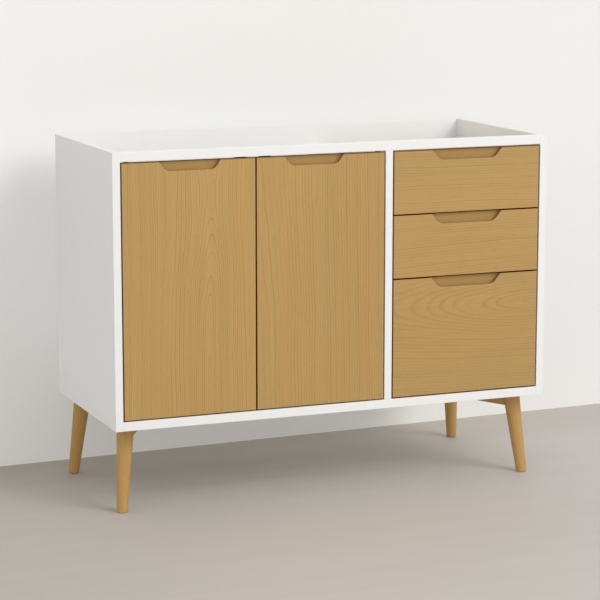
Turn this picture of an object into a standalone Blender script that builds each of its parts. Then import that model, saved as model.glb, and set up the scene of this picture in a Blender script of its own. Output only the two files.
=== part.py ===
# Kitchen base cabinet: an open-topped white carcass on four splayed wooden legs,
# with two inset doors on the left and three inset drawers on the right.
# Metres, +Z up, X to the right, Y to the back; the origin is on the floor under the middle.

import math

import bmesh
import bpy
from mathutils import Matrix, Vector

# Overall size
CARCASS_WIDTH = 1.130
CARCASS_DEPTH = 0.480
CARCASS_HEIGHT = 0.660
LEG_HEIGHT = 0.210

# Boards
SIDE_THICKNESS = 0.019
DIVIDER_THICKNESS = 0.019
BOTTOM_THICKNESS = 0.022
RAIL_HEIGHT = 0.022
BACK_THICKNESS = 0.005
BACK_REBATE = 0.010
DRAWER_BAY_WIDTH = 0.401
DIVIDER_POST_DEPTH = 0.060
DIVIDER_DROP = 0.062
EDGE_EASE = 0.0008

# Fits
GAP = 0.0003
REVEAL = 0.003
SWING_CLEARANCE = 0.0005

# Doors and drawer fronts
FRONT_THICKNESS = 0.018
TOP_DRAWER_HEIGHT = 0.155
MIDDLE_DRAWER_HEIGHT = 0.155
FRONT_EASE = 0.001

# Finger pulls
DOOR_PULL_WIDTH = 0.154
DOOR_PULL_FLOOR = 0.120
DOOR_PULL_DROP = 0.023
LEFT_PULL_SHIFT = 0.003
RIGHT_PULL_SHIFT = -0.018
DRAWER_PULL_WIDTH = 0.190
DRAWER_PULL_FLOOR = 0.148
DRAWER_PULL_DROP = 0.025
PULL_RADIUS = 0.009
PULL_DEPTH = 0.012
PULL_LIP = 0.0045
PULL_UNDERCUT = 0.006

# Door pivots
PIN_RADIUS = 0.0025
PIN_IN_DOOR = 0.012
PIN_IN_BUSH = 0.008
PIN_CLEARANCE = 0.0003
BUSH_RADIUS = 0.0045
BUSH_COLLAR_RADIUS = 0.006
BUSH_DEPTH = 0.011

# Magnetic catches
CATCH_WIDTH = 0.030
CATCH_DEPTH = 0.013
CATCH_BELOW_RAIL = 0.026
CATCH_ON_RAIL = 0.014
CATCH_FROM_EDGE = 0.030
STRIKE_SIZE = 0.022
STRIKE_THICKNESS = 0.0017

# Shelf
SHELF_THICKNESS = 0.018
SHELF_HEIGHT = 0.330
SHELF_CLEARANCE = 0.015
SHELF_SIDE_CLEARANCE = 0.0015
SHELF_PIN_RADIUS = 0.0025
SHELF_PIN_COLLAR = 0.0045
SHELF_PIN_COLLAR_WIDTH = 0.0011
SHELF_PIN_IN_BOARD = 0.009
SHELF_PIN_REACH = 0.009
SHELF_PIN_INSET = 0.050

# Drawer boxes
BOX_SIDE = 0.012
BOX_BACK = 0.012
BOX_BOTTOM = 0.006
BOX_REAR_CLEARANCE = 0.046
BOX_LIFT = 0.015
BOX_TOP_CLEARANCE = 0.005
LOW_BOX_HEIGHT = 0.220
GROOVE_DEPTH = 0.006
GROOVE_LIFT = 0.012

# Drawer slides
SLIDE_SPACE = 0.013
SLIDE_HEIGHT = 0.035
SLIDE_STEEL = 0.0015
SLIDE_FLANGE = 0.0095
SLIDE_SETBACK = 0.006
SLIDE_END = 0.004
SLIDE_LIFT = 0.055
SLIDE_CLEARANCE = 0.0005

# Legs
LEG_TOP_RADIUS = 0.0215
LEG_FOOT_RADIUS = 0.0133
LEG_FOOT_EASE = 0.002
LEG_SIDE_INSET = 0.049
LEG_FRONT_INSET = 0.081
LEG_BACK_INSET = 0.042
LEG_SPLAY_SIDE = 0.020
LEG_SPLAY_DEPTH = 0.028
LEG_BAR_LENGTH = 0.175
LEG_BAR_HEIGHT = 0.040
LEG_BAR_WIDTH = 0.022
LEG_BAR_TAPER = 0.026
LEG_BAR_ANGLE = 28.0

# Facets of round pieces
LEG_STEPS = 40
PIN_STEPS = 20

# Planes that several pieces share
left = -CARCASS_WIDTH / 2
right = CARCASS_WIDTH / 2
front = -CARCASS_DEPTH / 2
rear = CARCASS_DEPTH / 2
base = LEG_HEIGHT
top = LEG_HEIGHT + CARCASS_HEIGHT
left_inner = left + SIDE_THICKNESS
right_inner = right - SIDE_THICKNESS
divider_right = right_inner - DRAWER_BAY_WIDTH
divider_left = divider_right - DIVIDER_THICKNESS
floor_top = base + BOTTOM_THICKNESS
rail_under = top - RAIL_HEIGHT
back_inner = rear - BACK_THICKNESS - GAP
front_back = front + FRONT_THICKNESS
rail_back = front_back + GAP + STRIKE_THICKNESS
fronts_low = floor_top + REVEAL
fronts_high = rail_under - REVEAL

# The pivot stands in the middle of the door's thickness, far enough from the hinge side for the
# door's inner corner to swing past the board: the corner's circle ends one clearance short of it.
pivot_y = front + FRONT_THICKNESS / 2
pivot_inset = (REVEAL ** 2 + (FRONT_THICKNESS / 2) ** 2 - SWING_CLEARANCE ** 2) / (
    2 * (REVEAL - SWING_CLEARANCE))
swing_radius = pivot_inset - SWING_CLEARANCE
door_width = (divider_left - left_inner - 3 * REVEAL) / 2


def clear_scene():
    for item in list(bpy.data.objects):
        bpy.data.objects.remove(item, do_unlink=True)


def make_collection(name):
    collection = bpy.data.collections.new(name)
    bpy.context.scene.collection.children.link(collection)
    return collection


def make_material(name, colour, roughness, metallic=0.0):
    material = bpy.data.materials.new(name)
    material.use_nodes = True
    shader = material.node_tree.nodes["Principled BSDF"]
    shader.inputs["Base Color"].default_value = (*colour, 1.0)
    shader.inputs["Roughness"].default_value = roughness
    shader.inputs["Metallic"].default_value = metallic
    material.diffuse_color = (*colour, 1.0)
    return material


def box_mesh(name, size, ease=0.0, eased=None):
    """A box about its own centre; eased picks the edges that are rounded off, by default all."""
    bm = bmesh.new()
    bmesh.ops.create_cube(bm, size=1.0)
    bmesh.ops.scale(bm, vec=size, verts=bm.verts)
    if ease:
        edges = [edge for edge in bm.edges if eased is None or eased(edge)]
        bmesh.ops.bevel(bm, geom=edges, offset=ease, segments=2, profile=0.5, affect='EDGES')
    mesh = bpy.data.meshes.new(name)
    bm.to_mesh(mesh)
    bm.free()
    return mesh


def along(axis):
    """Picks the edges that run along one axis."""
    def picks(edge):
        run = edge.verts[1].co - edge.verts[0].co
        return abs(run[axis]) > 0.9 * run.length
    return picks


def on_side(axis, sign):
    """Picks the edges that lie on one side of the box."""
    def picks(edge):
        return all(vert.co[axis] * sign > 0 for vert in edge.verts)
    return picks


def front_uprights(edge):
    """Picks the two upright edges at the front."""
    return along(2)(edge) and on_side(1, -1)(edge)


def add_piece(name, mesh, where, material, parent=None, turn=(0.0, 0.0, 0.0)):
    """Puts one named piece in the cabinet at a place given in world coordinates."""
    piece = bpy.data.objects.new(name, mesh)
    piece.location = Vector(where) - (parent.location if parent else Vector())
    piece.rotation_euler = turn
    piece.parent = parent
    mesh.materials.clear()
    mesh.materials.append(material)
    cabinet.objects.link(piece)
    return piece


def add_board(name, x, y, z, material, parent=None, ease=0.0, eased=None):
    """A board from its two ends along each axis."""
    size = (x[1] - x[0], y[1] - y[0], z[1] - z[0])
    centre = ((x[0] + x[1]) / 2, (y[0] + y[1]) / 2, (z[0] + z[1]) / 2)
    return add_piece(name, box_mesh(name, size, ease, eased), centre, material, parent)


def add_axis(name, where):
    """An empty on a joint's axis, which carries the pieces that move with it."""
    axis = bpy.data.objects.new(name, None)
    axis.empty_display_size = 0.05
    axis.location = where
    cabinet.objects.link(axis)
    return axis


def cut(piece, mesh, where, turn=(0.0, 0.0, 0.0)):
    """Takes a cutter's shape out of a piece; the cutter stays, hidden from renders."""
    cutter = bpy.data.objects.new(piece.name + "_cutter", mesh)
    cutter.location = where
    cutter.rotation_euler = turn
    cutter.display_type = 'WIRE'
    cutter.hide_render = True
    cutters.objects.link(cutter)
    boolean = piece.modifiers.new("cut", 'BOOLEAN')
    boolean.operation = 'DIFFERENCE'
    boolean.solver = 'EXACT'
    boolean.object = cutter


def cut_box(piece, x, y, z):
    size = (x[1] - x[0], y[1] - y[0], z[1] - z[0])
    centre = ((x[0] + x[1]) / 2, (y[0] + y[1]) / 2, (z[0] + z[1]) / 2)
    cut(piece, box_mesh("cutter", size), centre)


def cut_bore(piece, radius, length, where, turn=(0.0, 0.0, 0.0)):
    """A round hole whose axis is the cutter's own Z, centred on a point."""
    bm = bmesh.new()
    bmesh.ops.create_cone(bm, cap_ends=True, segments=PIN_STEPS, radius1=radius, radius2=radius,
                          depth=length)
    mesh = bpy.data.meshes.new("bore")
    bm.to_mesh(mesh)
    bm.free()
    cut(piece, mesh, where, turn)


def turned_mesh(name, profile, steps):
    """A turned shape: the profile, given as (radius, height) from top to bottom, spun round Z."""
    line = bpy.data.meshes.new(name)
    line.from_pydata([(radius, 0.0, height) for radius, height in profile],
                     [(i, i + 1) for i in range(len(profile) - 1)], [])
    blank = bpy.data.objects.new(name, line)
    bpy.context.scene.collection.objects.link(blank)
    screw = blank.modifiers.new("turn", 'SCREW')
    screw.steps = steps
    screw.render_steps = steps
    screw.use_merge_vertices = True
    screw.merge_threshold = 0.0001
    bpy.context.view_layer.update()
    evaluated = blank.evaluated_get(bpy.context.evaluated_depsgraph_get())
    mesh = bpy.data.meshes.new_from_object(evaluated)
    bpy.data.objects.remove(blank, do_unlink=True)
    mesh.shade_smooth()
    mesh.set_sharp_from_angle(angle=math.radians(35))
    return mesh


def build_carcass():
    for name, x, side in (("left_side_panel", (left, left_inner), -1),
                          ("right_side_panel", (right_inner, right), 1)):
        panel = add_board(name, x, (front, rear), (base, top), white, ease=EDGE_EASE,
                          eased=on_side(0, side))
        inner = x[1] if side < 0 else x[0]
        rebate = sorted((inner + side * BACK_REBATE, inner - side * BACK_REBATE))
        cut_box(panel, rebate, (back_inner, rear + BACK_REBATE), (base - BACK_REBATE, top + BACK_REBATE))

    between = (left_inner + GAP, right_inner - GAP)
    floor = add_board("bottom_panel", between, (front, back_inner - GAP), (base, floor_top), white,
                      ease=EDGE_EASE, eased=along(0))
    rail = add_board("front_top_rail", between, (front, rail_back), (rail_under, top), white,
                     ease=EDGE_EASE, eased=along(0))
    add_board("back_panel", (left_inner - BACK_REBATE + GAP, right_inner + BACK_REBATE - GAP),
              (back_inner + GAP, rear), (base, top), white)

    divider = add_board("centre_divider", (divider_left, divider_right), (front, back_inner - GAP),
                        (floor_top + GAP, rail_under - GAP), white, ease=EDGE_EASE,
                        eased=front_uprights)
    cut_box(divider, (divider_left - GAP, divider_right + GAP), (front + DIVIDER_POST_DEPTH, rear),
            (top - DIVIDER_DROP, top))
    return floor, rail


def build_shelf():
    shelf_front = pivot_y + swing_radius + SHELF_CLEARANCE
    shelf_back = back_inner - SHELF_SIDE_CLEARANCE
    under = base + SHELF_HEIGHT
    add_board("shelf", (left_inner + SHELF_SIDE_CLEARANCE, divider_left - SHELF_SIDE_CLEARANCE),
              (shelf_front, shelf_back), (under, under + SHELF_THICKNESS), white, ease=EDGE_EASE,
              eased=along(0))
    pin_z = under - GAP - SHELF_PIN_RADIUS
    profile = ((0.0, SHELF_PIN_REACH), (SHELF_PIN_RADIUS, SHELF_PIN_REACH),
               (SHELF_PIN_RADIUS, SHELF_PIN_COLLAR_WIDTH), (SHELF_PIN_COLLAR, SHELF_PIN_COLLAR_WIDTH),
               (SHELF_PIN_COLLAR, GAP), (SHELF_PIN_RADIUS, GAP),
               (SHELF_PIN_RADIUS, -SHELF_PIN_IN_BOARD), (0.0, -SHELF_PIN_IN_BOARD))
    for end, y in (("front", shelf_front + SHELF_PIN_INSET), ("back", shelf_back - SHELF_PIN_INSET)):
        for side, x, board, way in (("left", left_inner, "left_side_panel", 1),
                                    ("right", divider_left, "centre_divider", -1)):
            turn = (0.0, way * math.pi / 2, 0.0)
            name = "shelf_pin_" + end + "_" + side
            add_piece(name, turned_mesh(name, profile, PIN_STEPS), (x, y, pin_z), steel, turn=turn)
            cut_bore(bpy.data.objects[board], SHELF_PIN_RADIUS + GAP, 2 * (SHELF_PIN_IN_BOARD + GAP),
                     (x, y, pin_z), turn)


def leg_profile(grow):
    """The leg's taper from the carcass down to the eased foot, widened all round by grow."""
    head = LEG_TOP_RADIUS + grow
    foot = LEG_FOOT_RADIUS + grow
    return ((0.0, -GAP + grow), (head, -GAP + grow), (foot, LEG_FOOT_EASE - LEG_HEIGHT),
            (foot - LEG_FOOT_EASE / 3, LEG_FOOT_EASE / 3 - LEG_HEIGHT),
            (foot - LEG_FOOT_EASE, -LEG_HEIGHT), (0.0, -LEG_HEIGHT))


def build_legs():
    """Turned legs that lean out to the corner, each with a bar that runs the other way."""
    for end, y, out_y in (("front", front + LEG_FRONT_INSET, -1), ("back", rear - LEG_BACK_INSET, 1)):
        for side, x, out_x in (("left", left + LEG_SIDE_INSET, -1), ("right", right - LEG_SIDE_INSET, 1)):
            head = (x, y, base)
            lean = Matrix.Shear('XY', 4, (-out_x * LEG_SPLAY_SIDE / LEG_HEIGHT,
                                          -out_y * LEG_SPLAY_DEPTH / LEG_HEIGHT))
            name = "leg_" + end + "_" + side
            leg = turned_mesh(name, leg_profile(0.0), LEG_STEPS)
            leg.transform(lean)
            add_piece(name, leg, head, wood)

            name = "leg_bar_" + end + "_" + side
            bar = box_mesh(name, (LEG_BAR_LENGTH, LEG_BAR_WIDTH, LEG_BAR_HEIGHT), EDGE_EASE, along(0))
            bar.transform(Matrix.Translation((LEG_BAR_LENGTH / 2, 0.0, -GAP - LEG_BAR_HEIGHT / 2)))
            for vert in bar.vertices:
                if vert.co.x > LEG_BAR_LENGTH / 2:
                    vert.co.x += LEG_BAR_TAPER * vert.co.z / LEG_BAR_HEIGHT
            turned_in = math.radians(LEG_BAR_ANGLE)
            heading = math.atan2(-out_y * math.cos(turned_in), -out_x * math.sin(turned_in))
            piece = add_piece(name, bar, head, wood, turn=(0.0, 0.0, heading))
            seat = turned_mesh("leg_seat", leg_profile(GAP), LEG_STEPS)
            seat.transform(lean)
            cut(piece, seat, head)


def pull_mesh(width, floor, drop, corner, y, rise):
    """The space of a finger pull: narrower at its floor, with rounded lower corners, and open
    above. Its own origin is on the front's top edge, in the middle of the pull."""
    height = drop + rise
    bm = bmesh.new()
    bmesh.ops.create_cube(bm, size=1.0)
    slope = (width - floor) / 2 / drop
    for vert in bm.verts:
        high = vert.co.z > 0
        half = width / 2 + slope * rise if high else floor / 2
        vert.co = Vector((math.copysign(half, vert.co.x), y[1] if vert.co.y > 0 else y[0],
                          rise if high else rise - height))
    edges = [edge for edge in bm.edges if along(1)(edge) and on_side(2, -1)(edge)]
    bmesh.ops.bevel(bm, geom=edges, offset=corner, segments=4, profile=0.5, affect='EDGES')
    mesh = bpy.data.meshes.new("pull")
    bm.to_mesh(mesh)
    bm.free()
    return mesh


def cut_pull(panel, x, z, width, floor, drop):
    """A finger pull in a front's top edge, with room behind its lip for the fingertips."""
    where = (x, front, z)
    cut(panel, pull_mesh(width, floor, drop, PULL_RADIUS, (-PULL_DEPTH, PULL_DEPTH), PULL_DEPTH), where)
    cut(panel, pull_mesh(width, floor, drop, PULL_RADIUS, (PULL_LIP, PULL_DEPTH), PULL_DEPTH),
        (x, front, z - PULL_UNDERCUT))


def bush_profile():
    """A blind bush with a collar. Height 0 is the face that the bush is set into."""
    collar_top = REVEAL - GAP
    bore = PIN_RADIUS + PIN_CLEARANCE
    bore_floor = -PIN_IN_BUSH - PIN_CLEARANCE
    return ((0.0, bore_floor), (bore, bore_floor), (bore, collar_top), (BUSH_COLLAR_RADIUS, collar_top),
            (BUSH_COLLAR_RADIUS, GAP), (BUSH_RADIUS, GAP), (BUSH_RADIUS, -BUSH_DEPTH),
            (0.0, -BUSH_DEPTH))


def pin_profile():
    """A plain pin. Height 0 is the door's edge, and the pin's lower end stands in the bush."""
    low = -REVEAL - PIN_IN_BUSH
    return ((0.0, PIN_IN_DOOR), (PIN_RADIUS, PIN_IN_DOOR), (PIN_RADIUS, low), (0.0, low))


def build_door(side, x, pivot_x, pull_x, catch_x, floor, rail):
    name = side + "_door"
    axis = add_axis(name + "_axis", (pivot_x, pivot_y, fronts_low))
    panel = add_board(name + "_panel", x, (front, front_back), (fronts_low, fronts_high), wood, axis,
                      ease=FRONT_EASE)
    cut_pull(panel, pull_x, fronts_high, DOOR_PULL_WIDTH, DOOR_PULL_FLOOR, DOOR_PULL_DROP)

    for end, edge_z, seat_z, carrier, turn in (
            ("bottom", fronts_low, floor_top, floor, (0.0, 0.0, 0.0)),
            ("top", fronts_high, rail_under, rail, (math.pi, 0.0, 0.0))):
        pin_name = name + "_" + end + "_pin"
        bush_name = name + "_" + end + "_bush"
        add_piece(pin_name, turned_mesh(pin_name, pin_profile(), PIN_STEPS),
                  (pivot_x, pivot_y, edge_z), steel, axis, turn)
        cut_bore(panel, PIN_RADIUS + GAP, 2 * (PIN_IN_DOOR + GAP), (pivot_x, pivot_y, edge_z))
        add_piece(bush_name, turned_mesh(bush_name, bush_profile(), PIN_STEPS),
                  (pivot_x, pivot_y, seat_z), brass, turn=turn)
        cut_bore(carrier, BUSH_RADIUS + GAP, 2 * (BUSH_DEPTH + GAP), (pivot_x, pivot_y, seat_z))

    half = CATCH_WIDTH / 2
    add_board(name + "_catch", (catch_x - half, catch_x + half), (rail_back + GAP, rail_back + CATCH_DEPTH),
              (rail_under - CATCH_BELOW_RAIL, rail_under + CATCH_ON_RAIL), plastic, ease=EDGE_EASE)
    half = STRIKE_SIZE / 2
    strike_top = fronts_high - FRONT_EASE
    add_board(name + "_strike", (catch_x - half, catch_x + half), (front_back + GAP, rail_back),
              (strike_top - STRIKE_SIZE, strike_top), steel, axis)


def build_doors(floor, rail):
    hinge_edge = left_inner + REVEAL
    meeting = hinge_edge + door_width
    build_door("left", (hinge_edge, meeting), left_inner + pivot_inset,
               hinge_edge + door_width / 2 + LEFT_PULL_SHIFT, meeting - CATCH_FROM_EDGE, floor, rail)
    meeting += REVEAL
    hinge_edge = divider_left - REVEAL
    build_door("right", (meeting, hinge_edge), divider_left - pivot_inset,
               meeting + door_width / 2 + RIGHT_PULL_SHIFT, meeting + CATCH_FROM_EDGE, floor, rail)


def add_channel(name, x, y, z, opens, parent=None):
    """A folded steel channel, open at its ends and towards the side that opens gives."""
    size = (x[1] - x[0], y[1] - y[0], z[1] - z[0])
    centre = ((x[0] + x[1]) / 2, (y[0] + y[1]) / 2, (z[0] + z[1]) / 2)
    bm = bmesh.new()
    bmesh.ops.create_cube(bm, size=1.0)
    bmesh.ops.scale(bm, vec=size, verts=bm.verts)
    bm.normal_update()
    open_faces = [face for face in bm.faces
                  if abs(face.normal.y) > 0.5 or face.normal.x * opens > 0.5]
    bmesh.ops.delete(bm, geom=open_faces, context='FACES')
    mesh = bpy.data.meshes.new(name)
    bm.to_mesh(mesh)
    bm.free()
    piece = add_piece(name, mesh, centre, steel, parent)
    wall = piece.modifiers.new("wall", 'SOLIDIFY')
    wall.thickness = SLIDE_STEEL
    wall.offset = -1.0
    wall.use_even_offset = True


def build_drawer(name, low, high, box_height):
    """One drawer: front, two sides, back and bottom, and its slides on both sides."""
    axis = add_axis(name + "_axis", ((divider_right + right_inner) / 2, front, low))
    face = add_board(name + "_front", (divider_right + REVEAL, right_inner - REVEAL),
                     (front, front_back), (low, high), wood, axis, ease=FRONT_EASE)
    cut_pull(face, axis.location.x, high, DRAWER_PULL_WIDTH, DRAWER_PULL_FLOOR, DRAWER_PULL_DROP)

    box_low = low + BOX_LIFT
    box_high = box_low + box_height
    box_front = front_back + GAP
    box_back = back_inner - BOX_REAR_CLEARANCE
    left_out = divider_right + SLIDE_SPACE
    right_out = right_inner - SLIDE_SPACE
    left_in = left_out + BOX_SIDE
    right_in = right_out - BOX_SIDE
    groove_low = box_low + GROOVE_LIFT
    groove_high = groove_low + BOX_BOTTOM + 2 * GAP
    groove = (left_in - GROOVE_DEPTH, right_in + GROOVE_DEPTH)
    for side, x in (("left", (left_out, left_in)), ("right", (right_in, right_out))):
        board = add_board(name + "_" + side + "_side", x, (box_front, box_back), (box_low, box_high),
                          birch, axis, ease=EDGE_EASE, eased=along(1))
        cut_box(board, groove, (box_front - GAP, box_back + GAP), (groove_low, groove_high))
    cut_box(face, groove, (front_back - GROOVE_DEPTH, box_front), (groove_low, groove_high))
    add_board(name + "_back", (left_in + GAP, right_in - GAP), (box_back - BOX_BACK, box_back),
              (groove_high + GAP, box_high), birch, axis, ease=EDGE_EASE, eased=along(0))
    add_board(name + "_bottom", (groove[0] + GAP, groove[1] - GAP),
              (front_back - GROOVE_DEPTH + GAP, box_back), (groove_low + GAP, groove_high - GAP),
              birch, axis)

    y = (box_front + SLIDE_SETBACK, box_back - SLIDE_END)
    middle = box_low + SLIDE_LIFT
    outer = (middle - SLIDE_HEIGHT / 2, middle + SLIDE_HEIGHT / 2)
    nest = SLIDE_STEEL + SLIDE_CLEARANCE
    inner = (outer[0] + nest, outer[1] - nest)
    for side, wall, out in (("left", divider_right, 1), ("right", right_inner, -1)):
        seat = wall + out * GAP
        add_channel(name + "_outer_slide_" + side, sorted((seat, seat + out * SLIDE_FLANGE)), y, outer,
                    out)
        tip = seat + out * (SLIDE_STEEL + 2 * SLIDE_CLEARANCE)
        add_channel(name + "_inner_slide_" + side, sorted((tip, wall + out * (SLIDE_SPACE - GAP))), y,
                    inner, -out, axis)


def build_drawers():
    high = fronts_high
    for name, height in (("top_drawer", TOP_DRAWER_HEIGHT), ("middle_drawer", MIDDLE_DRAWER_HEIGHT)):
        box_height = height - BOX_LIFT - DRAWER_PULL_DROP - BOX_TOP_CLEARANCE
        build_drawer(name, high - height, high, box_height)
        high -= height + REVEAL
    build_drawer("bottom_drawer", fronts_low, high, LOW_BOX_HEIGHT)


clear_scene()
cabinet = make_collection("kitchen_base_cabinet")
cutters = make_collection("cutters")
white = make_material("white_lacquer", (0.83, 0.83, 0.81), 0.45)
wood = make_material("oak_veneer", (0.48, 0.30, 0.11), 0.5)
birch = make_material("birch_ply", (0.62, 0.47, 0.29), 0.6)
steel = make_material("zinc_steel", (0.55, 0.56, 0.57), 0.35, 1.0)
brass = make_material("bush_brass", (0.60, 0.45, 0.20), 0.4, 1.0)
plastic = make_material("catch_plastic", (0.75, 0.75, 0.73), 0.5)

bottom_panel, front_rail = build_carcass()
build_shelf()
build_legs()
build_doors(bottom_panel, front_rail)
build_drawers()
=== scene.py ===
import math

import bmesh
import bpy
import numpy as np
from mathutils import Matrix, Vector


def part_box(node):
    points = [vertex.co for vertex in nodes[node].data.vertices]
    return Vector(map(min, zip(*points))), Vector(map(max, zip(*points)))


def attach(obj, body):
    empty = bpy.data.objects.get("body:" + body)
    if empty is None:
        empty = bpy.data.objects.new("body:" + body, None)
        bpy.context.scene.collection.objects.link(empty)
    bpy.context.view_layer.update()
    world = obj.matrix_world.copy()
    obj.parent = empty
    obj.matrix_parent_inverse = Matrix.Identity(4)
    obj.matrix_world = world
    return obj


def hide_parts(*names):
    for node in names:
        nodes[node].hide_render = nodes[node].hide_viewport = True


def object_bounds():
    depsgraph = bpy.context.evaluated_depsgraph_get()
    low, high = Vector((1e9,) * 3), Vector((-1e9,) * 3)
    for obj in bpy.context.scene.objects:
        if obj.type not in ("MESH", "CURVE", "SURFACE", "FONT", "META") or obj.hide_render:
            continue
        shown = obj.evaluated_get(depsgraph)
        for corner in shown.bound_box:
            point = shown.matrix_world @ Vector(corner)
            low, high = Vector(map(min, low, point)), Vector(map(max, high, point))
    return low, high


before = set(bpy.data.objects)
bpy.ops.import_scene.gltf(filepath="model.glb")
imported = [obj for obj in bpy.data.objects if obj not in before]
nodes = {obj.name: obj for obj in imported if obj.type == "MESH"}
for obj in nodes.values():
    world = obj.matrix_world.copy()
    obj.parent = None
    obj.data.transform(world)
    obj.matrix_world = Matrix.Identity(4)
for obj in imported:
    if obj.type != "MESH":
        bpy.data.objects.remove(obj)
cadBox = [list(corner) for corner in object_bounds()]
scene = bpy.context.scene
print("frame loaded:", len(nodes), "nodes")


# small helpers for the shader trees

def feed(tree, socket, value):
    # a socket is linked, a number or a colour is written in
    if isinstance(value, bpy.types.NodeSocket):
        tree.links.new(value, socket)
    else:
        socket.default_value = value


def addNode(tree, kind, inputs=None, **settings):
    node = tree.nodes.new(kind)
    for key, value in settings.items():
        setattr(node, key, value)
    for key, value in (inputs or {}).items():
        feed(tree, node.inputs[key], value)
    return node


def calc(tree, operation, *values):
    return addNode(tree, "ShaderNodeMath", dict(enumerate(values)), operation=operation).outputs[0]


def plus(tree, base, first, second):
    # the base plus the first times the second
    return calc(tree, "MULTIPLY_ADD", first, second, base)


def vary(tree, base, noise, amount):
    # the base plus the amount times how far the noise lies from its middle
    return plus(tree, base, calc(tree, "SUBTRACT", noise, 0.5), amount)


def objectPlace(tree):
    return addNode(tree, "ShaderNodeTexCoord").outputs["Object"]


def axesOf(tree, vector):
    return addNode(tree, "ShaderNodeSeparateXYZ", {0: vector}).outputs


def speckle(tree, vector, scale, detail, seed=0.0):
    # noise around one half; the seed keeps two uses apart
    inputs = {"Vector": vector, "Scale": scale, "Detail": detail, "W": seed}
    return addNode(tree, "ShaderNodeTexNoise", inputs, noise_dimensions="4D").outputs[0]


def longSpeckle(tree, vector, scales, detail, seed=0.0):
    # noise with its own scale along each axis
    scaled = addNode(tree, "ShaderNodeVectorMath", {0: vector, 1: scales}, operation="MULTIPLY").outputs[0]
    return speckle(tree, scaled, 1.0, detail, seed)


def spread(tree, value, low, high, newLow=0.0, newHigh=1.0):
    # the range low to high becomes newLow to newHigh, with soft ends
    inputs = {0: value, 1: low, 2: high, 3: newLow, 4: newHigh}
    return addNode(tree, "ShaderNodeMapRange", inputs, interpolation_type="SMOOTHSTEP").outputs[0]


def mixColours(tree, factor, first, second, blend="MIX"):
    # the node's colour sockets are its inputs 6 and 7 and its output 2
    inputs = {0: factor, 6: first, 7: second}
    return addNode(tree, "ShaderNodeMix", inputs, data_type="RGBA", blend_type=blend).outputs[2]


def shadeColour(tree, colour, amount):
    # the colour times a number that changes over the surface
    grey = addNode(tree, "ShaderNodeCombineColor", {0: amount, 1: amount, 2: amount}).outputs[0]
    return mixColours(tree, 1.0, colour, grey, "MULTIPLY")


def newGroup(name, inputs, outputs):
    group = bpy.data.node_groups.new(name, "ShaderNodeTree")
    for label, kind, value in inputs:
        socket = group.interface.new_socket(label, in_out="INPUT", socket_type="NodeSocket" + kind)
        if value is not None:
            socket.default_value = value
    for label, kind in outputs:
        group.interface.new_socket(label, in_out="OUTPUT", socket_type="NodeSocket" + kind)
    return group, group.nodes.new("NodeGroupInput").outputs, group.nodes.new("NodeGroupOutput").inputs


# shader groups that several finishes share; first the noises of sawn wood, each with its scales along the
# grain, through the board and across it, its detail, and what it adds to the board's seed
grainNoises = {
    "drift": ((1.8, 7.0, 7.0), 2.0, 0.0),
    "sway": ((3.2, 5.0, 5.0), 2.0, 7.3),
    "ruffle": ((14.0, 90.0, 90.0), 1.0, 0.0),
    "streak": ((3.0, 150.0, 150.0), 2.0, 0.0),
    "fibre": ((18.0, 900.0, 900.0), 2.0, 0.0),
    "cloud": ((1.5, 5.0, 5.0), 1.0, 3.1),
    "pore": ((70.0, 1500.0, 1500.0), 0.0, 0.0),
    "hue": ((1.2, 21.0, 21.0), 1.0, 5.7),
}
sawn = {"bend": 0.0012, "ruffle": 0.22, "lateFrom": (1.25, 0.30), "lateTo": (0.0, 0.20), "paleRing": 0.25,
        "pores": (0.66, 0.78), "hues": (0.30, 0.70), "pink": (1.018, 0.990, 0.955, 1.0),
        "olive": (0.985, 1.006, 0.995, 1.0),
        "shade": {"streak": 0.16, "fibre": 0.12, "cloud": 0.14, "pore": -0.12},
        "rough": {"base": 0.52, "late": -0.06, "pore": 0.12},
        "relief": {"late": 0.25, "fibre": 0.5, "pore": -0.6}}


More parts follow.
